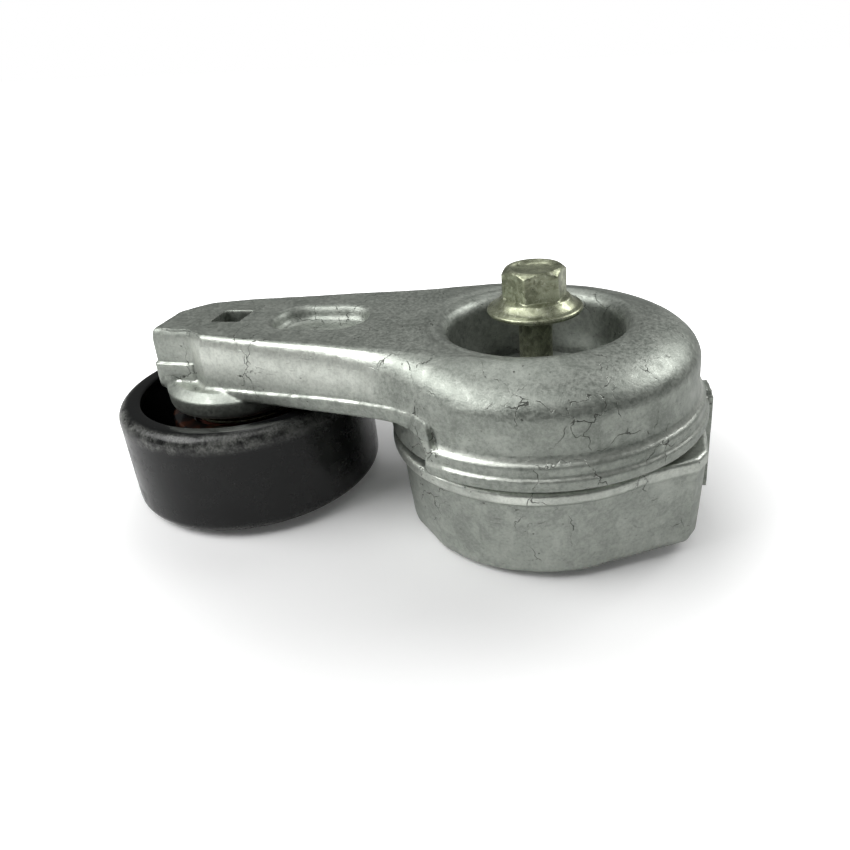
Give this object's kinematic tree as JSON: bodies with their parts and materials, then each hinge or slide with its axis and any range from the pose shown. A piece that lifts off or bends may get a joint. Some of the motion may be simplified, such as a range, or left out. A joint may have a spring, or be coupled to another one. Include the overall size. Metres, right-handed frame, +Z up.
{
  "type": "belt tensioner idler",
  "caption": "Sprung belt tensioner: cast arm with a drum over its torsion spring, a hollow pivot with its mounting bolt, and a smooth pulley on a sealed ball bearing.",
  "frame": {"origin": "on the arm's pivot axis, at the base's flat bottom face", "axes": "+Z up along the pivot axis, out of the base; the pulley is at -X"},
  "size_m": [0.1752, 0.0908, 0.0693],
  "materials": {
    "cast_base": "as cast",
    "cast_arm": "as cast, shoulders worn bright",
    "steel": "turned",
    "bearing_steel": "ground",
    "spring_steel": "phosphated spring wire",
    "zinc": "yellow zinc plated",
    "pulley_black": "gloss black, worn at the rims",
    "nylon": "moulded",
    "bronze": "turned",
    "seal": "moulded"
  },
  "bodies": {
    "base": {"base_housing": "cast_base", "pivot_tube": "steel", "retaining_plate": "steel", "spring_seat": "nylon", "torsion_spring": "spring_steel"},
    "arm": {"arm_casting": "cast_arm", "pivot_bushing": "bronze", "thrust_washer": "nylon", "damper_ring": "nylon", "bearing_inner_race": "bearing_steel", "dust_shield_upper": "zinc", "dust_shield_lower": "zinc", "pulley_bolt": "zinc"},
    "pulley": {"pulley_shell": "pulley_black", "bearing_outer_race": "bearing_steel", "seal_upper": "seal", "seal_lower": "seal"},
    "balls": {"ball_cage": "nylon", "ball_1": "bearing_steel", "ball_2": "bearing_steel", "ball_3": "bearing_steel", "ball_4": "bearing_steel", "ball_5": "bearing_steel", "ball_6": "bearing_steel", "ball_7": "bearing_steel", "ball_8": "bearing_steel"},
    "retainer": {"bolt_retainer": "nylon"},
    "bolt": {"mounting_bolt": "zinc"}
  },
  "joints": [
    {"name": "arm_swing", "type": "hinge", "parent": "base", "child": "arm", "pos_m": [0, 0, 0.022], "axis": [0, 0, 1], "range_deg": [0, 32], "stiffness_Nm_per_rad": 9, "springref_deg": -51.57, "deforming": ["torsion_spring"]},
    {"name": "pulley_spin", "type": "hinge", "parent": "arm", "child": "pulley", "pos_m": [-0.0905, 0, 0.0199], "axis": [0, 0, 1], "continuous": true},
    {"name": "balls_orbit", "type": "hinge", "parent": "arm", "child": "balls", "pos_m": [-0.0905, 0, 0.0199], "axis": [0, 0, 1], "continuous": true},
    {"name": "bolt_slide", "type": "slide", "parent": "base", "child": "retainer", "axis": [0, 0, 1], "range_m": [-0.0175, 0]},
    {"name": "bolt_turn", "type": "hinge", "parent": "retainer", "child": "bolt", "pos_m": [0, 0, 0.037], "axis": [0, 0, 1], "continuous": true}
  ],
  "couplings": [
    {"joint": "balls_orbit", "follows": "pulley_spin", "ratio": 0.619}
  ]
}
